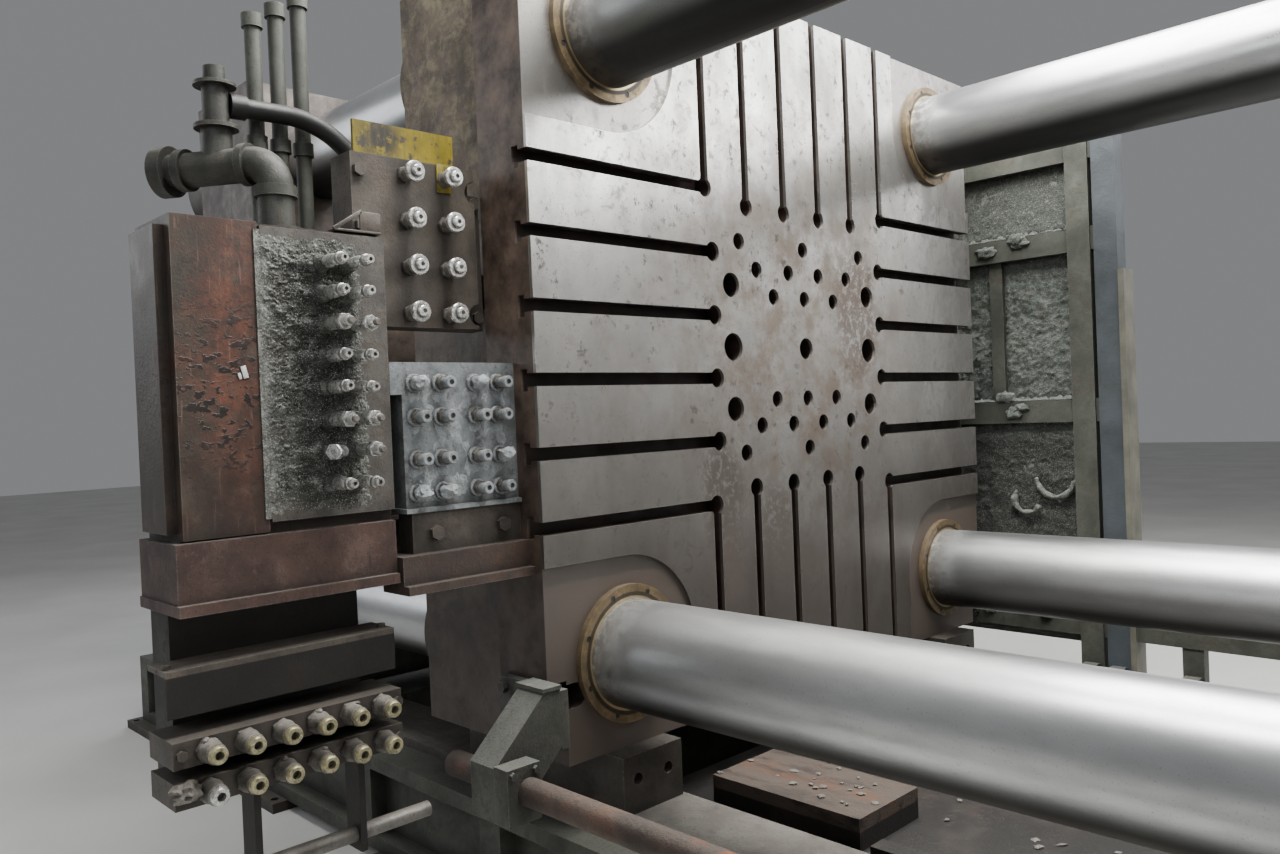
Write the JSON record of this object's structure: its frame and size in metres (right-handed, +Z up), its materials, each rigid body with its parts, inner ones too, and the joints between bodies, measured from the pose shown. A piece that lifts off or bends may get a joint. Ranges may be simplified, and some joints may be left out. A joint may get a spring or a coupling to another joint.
{
  "type": "die casting machine clamping unit",
  "caption": "Clamping unit of a large horizontal cold-chamber die casting machine: T-slotted moving platen on tie bars, closing ram and side core-pull manifolds.",
  "frame": {"origin": "floor level under the die face of the moving platen on the machine axis", "axes": "+X along the tie bars to the fixed platen, +Y to the far side, +Z up"},
  "size_m": [6.726, 3.79, 2.875],
  "materials": {
    "milled_steel": "milled, stained",
    "painted_casting": "greasy dark paint",
    "bronze": "turned",
    "ground_bar": "ground",
    "dark_steel": "oiled",
    "painted_blue": "worn paint",
    "painted_frame": "worn paint",
    "rail_steel": "oiled",
    "rusty_plate": "rusted",
    "crusted_panel": "crusted",
    "manifold_steel": "dirty",
    "coated_manifold": "white residue",
    "coupling_zinc": "zinc plated",
    "coupling_brass": "worn",
    "yellow_strip": "chipped",
    "maroon_paint": "scuffed",
    "hose_rubber": "dusty",
    "grey_casting": "as cast, painted"
  },
  "bodies": {
    "frame": {"fixed_platen": "milled_steel", "shot_sleeve_ring": "dark_steel", "platen_feet": "dark_steel", "tie_bars": "ground_bar", "tie_nuts": "dark_steel", "rear_platen": "painted_casting", "closing_cylinder": "painted_blue", "cylinder_gland": "dark_steel", "cylinder_saddle": "painted_frame", "bed_beams": "painted_frame", "bed_cross_members": "painted_frame", "sole_plates": "dark_steel", "slide_rails": "rail_steel", "bed_tray": "rusty_plate", "rest_block": "rusty_plate", "rod_guide": "dark_steel", "guard_posts": "painted_frame", "guard_rails": "painted_frame", "guard_panel": "crusted_panel", "door_rail": "painted_frame"},
    "moving": {"moving_platen": "milled_steel", "platen_rib_frame": "painted_casting", "guide_bushes": "bronze", "ring_screws": "dark_steel", "slide_shoes": "dark_steel", "closing_ram": "ground_bar", "ejector_housing": "painted_casting", "ejector_guides": "ground_bar", "ejector_plate": "dark_steel", "ejector_cylinders": "painted_blue", "small_manifold": "manifold_steel", "small_couplings": "coupling_zinc", "cover_strip": "yellow_strip", "valve_box": "rusty_plate", "valve_box_base": "maroon_paint", "box_fittings": "coupling_zinc", "big_manifold": "coated_manifold", "big_couplings": "coupling_zinc", "foot_strip": "manifold_steel", "bracket_plate": "rusty_plate", "side_carrier": "rusty_plate", "lower_panel": "maroon_paint", "angle_bar": "manifold_steel", "lower_rails": "manifold_steel", "lower_couplings": "coupling_brass", "hand_bar": "rail_steel", "clamp_arm": "grey_casting", "safety_rod": "rusty_plate", "pipe_run": "manifold_steel", "supply_hose": "hose_rubber", "conduits": "painted_frame", "valve_face_plate": "manifold_steel"}
  },
  "joints": [
    {"name": "platen_slide", "type": "slide", "parent": "frame", "child": "moving", "axis": [1, 0, 0], "range_m": [0, 1.15]}
  ]
}
